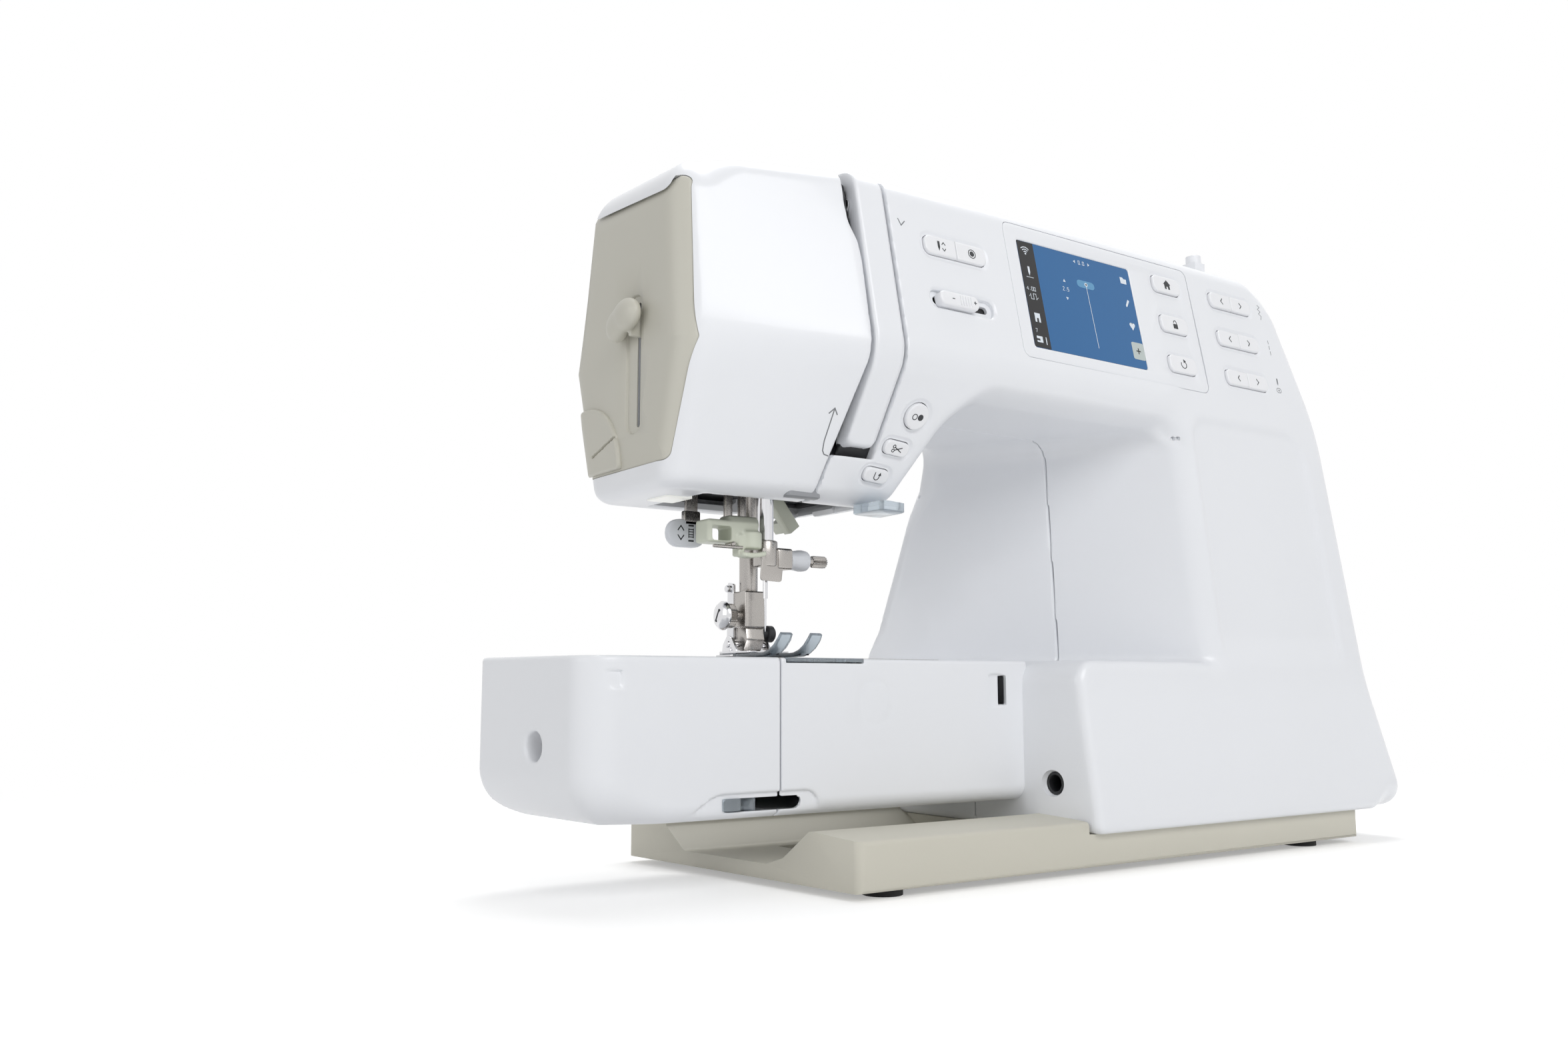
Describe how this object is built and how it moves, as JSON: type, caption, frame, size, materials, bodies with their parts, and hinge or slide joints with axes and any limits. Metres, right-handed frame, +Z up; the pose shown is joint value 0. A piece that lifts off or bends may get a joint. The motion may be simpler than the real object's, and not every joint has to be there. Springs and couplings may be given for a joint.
{
  "type": "sewing machine",
  "caption": "Computerised free-arm sewing machine with a white housing, colour display, keys, needle and presser foot, threader, rotary hook, handwheel and drive.",
  "frame": {"origin": "middle of the machine's footprint, on the table", "axes": "+Z up, +X towards the handwheel, +Y to the back"},
  "size_m": [0.4685, 0.1576, 0.307],
  "materials": {
    "white_plastic": "glossy",
    "beige_plastic": "satin",
    "cream_plastic": "satin",
    "pale_plastic": "satin",
    "dark_plastic": "matte",
    "clear_plastic": "glossy",
    "rubber": "matte",
    "steel": "satin",
    "chrome": "polished",
    "casting": "matte",
    "display": "glossy",
    "board": "satin",
    "lens": "glossy"
  },
  "bodies": {
    "machine": {"base": "cream_plastic", "rubber_feet": "rubber", "front_housing": "white_plastic", "rear_housing": "white_plastic", "top_cover": "white_plastic", "head_cover": "white_plastic", "side_panel": "beige_plastic", "thread_strip": "white_plastic", "free_arm_shell": "white_plastic", "free_arm_end": "white_plastic", "knee_socket": "steel", "needle_plate": "steel", "screen_bezel": "white_plastic", "screen": "display", "cast_frame": "casting", "motor": "dark_plastic", "belts": "rubber", "bobbin_case": "dark_plastic", "thread_cutter": "beige_plastic", "lamp": "lens", "winder_stop": "white_plastic", "spool_pin": "white_plastic", "socket_panel": "dark_plastic", "circuit_board": "board", "screws": "steel"},
    "main_shaft": {"main_shaft": "steel", "handwheel": "white_plastic"},
    "lower_shaft": {"lower_shaft": "steel"},
    "hook": {"hook": "steel"},
    "motor_rotor": {"motor_rotor": "steel"},
    "needle_bar": {"needle_bar": "chrome", "needle_clamp": "chrome", "needle": "chrome"},
    "take_up_lever": {"take_up_lever": "steel"},
    "presser_bar": {"presser_bar": "chrome", "foot_ankle": "steel"},
    "presser_lifter": {"presser_lifter": "steel"},
    "presser_foot": {"presser_foot": "chrome"},
    "threader_lever": {"threader_lever": "beige_plastic"},
    "threader_bracket": {"threader_bracket": "pale_plastic"},
    "buttonhole_lever": {"buttonhole_lever": "pale_plastic"},
    "feed_drop_lever": {"feed_drop_lever": "pale_plastic"},
    "feed_dog": {"feed_dog": "steel"},
    "speed_slider": {"speed_slider": "white_plastic"},
    "home_key": {"home_key": "white_plastic"},
    "lock_key": {"lock_key": "white_plastic"},
    "clear_key": {"clear_key": "white_plastic"},
    "start_stop_key": {"start_stop_key": "white_plastic"},
    "cutter_key": {"cutter_key": "white_plastic"},
    "reverse_key": {"reverse_key": "white_plastic"},
    "needle_keys": {"needle_keys": "white_plastic"},
    "width_keys": {"width_keys": "white_plastic"},
    "length_keys": {"length_keys": "white_plastic"},
    "position_keys": {"position_keys": "white_plastic"},
    "winder_spindle": {"winder_spindle": "steel"},
    "bobbin": {"bobbin": "clear_plastic"},
    "bobbin_cover": {"bobbin_cover": "clear_plastic"},
    "spool_cap": {"spool_cap": "white_plastic"},
    "carrying_handle": {"carrying_handle": "white_plastic"},
    "power_switch": {"power_switch": "dark_plastic"}
  },
  "joints": [
    {"name": "main_shaft_spin", "type": "hinge", "parent": "machine", "child": "main_shaft", "pos_m": [0.075, -0.00521, 0.243], "axis": [1, 0, 0], "continuous": true},
    {"name": "lower_shaft_spin", "type": "hinge", "parent": "machine", "child": "lower_shaft", "pos_m": [-0.005, -0.00321, 0.049], "axis": [1, 0, 0], "continuous": true},
    {"name": "hook_spin", "type": "hinge", "parent": "machine", "child": "hook", "pos_m": [-0.125, -0.02221, 0.07], "axis": [0, 0, 1], "continuous": true},
    {"name": "motor_spin", "type": "hinge", "parent": "machine", "child": "motor_rotor", "pos_m": [0.115, -0.01121, 0.12], "axis": [1, 0, 0], "continuous": true},
    {"name": "needle_bar_slide", "type": "slide", "parent": "machine", "child": "needle_bar", "axis": [0, 0, 1], "range_m": [-0.027, 0.006]},
    {"name": "take_up_swing", "type": "hinge", "parent": "machine", "child": "take_up_lever", "pos_m": [-0.1164, -0.02921, 0.268], "axis": [1, 0, 0], "range_deg": [-6, 21]},
    {"name": "presser_bar_slide", "type": "slide", "parent": "machine", "child": "presser_bar", "axis": [0, 0, 1], "range_m": [0, 0.008]},
    {"name": "presser_lifter_swing", "type": "hinge", "parent": "machine", "child": "presser_lifter", "pos_m": [-0.111, 0.01479, 0.168], "axis": [0, -1, 0], "range_deg": [0, 32]},
    {"name": "foot_tilt", "type": "hinge", "parent": "presser_bar", "child": "presser_foot", "pos_m": [-0.125, 0.00979, 0.097], "axis": [-1, 0, 0], "range_deg": [0, 5]},
    {"name": "threader_lever_slide", "type": "slide", "parent": "machine", "child": "threader_lever", "axis": [0, 0, 1], "range_m": [-0.034, 0], "stiffness_N_per_m": 20, "springref_m": 0.015},
    {"name": "threader_bracket_slide", "type": "slide", "parent": "machine", "child": "threader_bracket", "axis": [0, 0, 1], "range_m": [-0.017, 0]},
    {"name": "buttonhole_lever_slide", "type": "slide", "parent": "machine", "child": "buttonhole_lever", "axis": [0, 0, 1], "range_m": [-0.04, 0]},
    {"name": "feed_drop_slide", "type": "slide", "parent": "machine", "child": "feed_drop_lever", "axis": [1, 0, 0], "range_m": [-0.005, 0.02]},
    {"name": "feed_dog_lift", "type": "slide", "parent": "machine", "child": "feed_dog", "axis": [0, 0, 1], "range_m": [-0.0022, 0.00055]},
    {"name": "speed_slide", "type": "slide", "parent": "machine", "child": "speed_slider", "axis": [1, 0, 0], "range_m": [-0.003, 0.01]},
    {"name": "home_key_press", "type": "slide", "parent": "machine", "child": "home_key", "axis": [0, 0.9806, -0.1959], "range_m": [0, 0.001], "stiffness_N_per_m": 200, "springref_m": -0.0005},
    {"name": "lock_key_press", "type": "slide", "parent": "machine", "child": "lock_key", "axis": [0, 0.9806, -0.1959], "range_m": [0, 0.001], "stiffness_N_per_m": 200, "springref_m": -0.0005},
    {"name": "clear_key_press", "type": "slide", "parent": "machine", "child": "clear_key", "axis": [0, 0.9806, -0.1959], "range_m": [0, 0.001], "stiffness_N_per_m": 200, "springref_m": -0.0005},
    {"name": "start_stop_press", "type": "slide", "parent": "machine", "child": "start_stop_key", "axis": [0, 0.848, 0.5299], "range_m": [0, 0.001], "stiffness_N_per_m": 200, "springref_m": -0.0005},
    {"name": "cutter_key_press", "type": "slide", "parent": "machine", "child": "cutter_key", "axis": [0, 0.848, 0.5299], "range_m": [0, 0.001], "stiffness_N_per_m": 200, "springref_m": -0.0005},
    {"name": "reverse_key_press", "type": "slide", "parent": "machine", "child": "reverse_key", "axis": [0, 0.848, 0.5299], "range_m": [0, 0.001], "stiffness_N_per_m": 200, "springref_m": -0.0005},
    {"name": "needle_keys_rock", "type": "hinge", "parent": "machine", "child": "needle_keys", "pos_m": [-0.0645, -0.0591, 0.26445], "axis": [0, 0.1959, 0.9806], "range_deg": [-2.5, 2.5], "stiffness_Nm_per_rad": 0.05},
    {"name": "width_keys_rock", "type": "hinge", "parent": "machine", "child": "width_keys", "pos_m": [0.1277, -0.0571, 0.27446], "axis": [0, 0.1959, 0.9806], "range_deg": [-2.5, 2.5], "stiffness_Nm_per_rad": 0.05},
    {"name": "length_keys_rock", "type": "hinge", "parent": "machine", "child": "length_keys", "pos_m": [0.1277, -0.06125, 0.25367], "axis": [0, 0.1959, 0.9806], "range_deg": [-2.5, 2.5], "stiffness_Nm_per_rad": 0.05},
    {"name": "position_keys_rock", "type": "hinge", "parent": "machine", "child": "position_keys", "pos_m": [0.1277, -0.06548, 0.23248], "axis": [0, 0.1959, 0.9806], "range_deg": [-2.5, 2.5], "stiffness_Nm_per_rad": 0.05},
    {"name": "winder_spin", "type": "hinge", "parent": "machine", "child": "winder_spindle", "pos_m": [0.107, -0.02721, 0.29], "axis": [0, 0, 1], "continuous": true},
    {"name": "bobbin_spin", "type": "hinge", "parent": "machine", "child": "bobbin", "pos_m": [-0.125, -0.02221, 0.077], "axis": [0, 0, 1], "continuous": true},
    {"name": "bobbin_cover_slide", "type": "slide", "parent": "machine", "child": "bobbin_cover", "axis": [0, -1, 0], "range_m": [0, 0.03]},
    {"name": "spool_cap_slide", "type": "slide", "parent": "machine", "child": "spool_cap", "axis": [1, 0, 0], "range_m": [0, 0.028]},
    {"name": "carrying_handle_lift", "type": "hinge", "parent": "machine", "child": "carrying_handle", "pos_m": [0.017, 0.02579, 0.302], "axis": [-1, 0, 0], "range_deg": [0, 90]},
    {"name": "power_switch_rock", "type": "hinge", "parent": "machine", "child": "power_switch", "pos_m": [0.21246, 0.02479, 0.11092], "axis": [0, 1, 0], "range_deg": [-6, 6]}
  ],
  "couplings": [
    {"joint": "lower_shaft_spin", "follows": "main_shaft_spin", "ratio": 1},
    {"joint": "hook_spin", "follows": "main_shaft_spin", "ratio": 2},
    {"joint": "motor_spin", "follows": "main_shaft_spin", "ratio": 5.25},
    {"joint": "take_up_swing", "follows": "needle_bar_slide", "rad_per_m": -12.9},
    {"joint": "presser_lifter_swing", "follows": "presser_bar_slide", "rad_per_m": 69.8},
    {"joint": "threader_bracket_slide", "follows": "threader_lever_slide", "ratio": 0.5},
    {"joint": "feed_dog_lift", "follows": "feed_drop_slide", "ratio": -0.11}
  ]
}
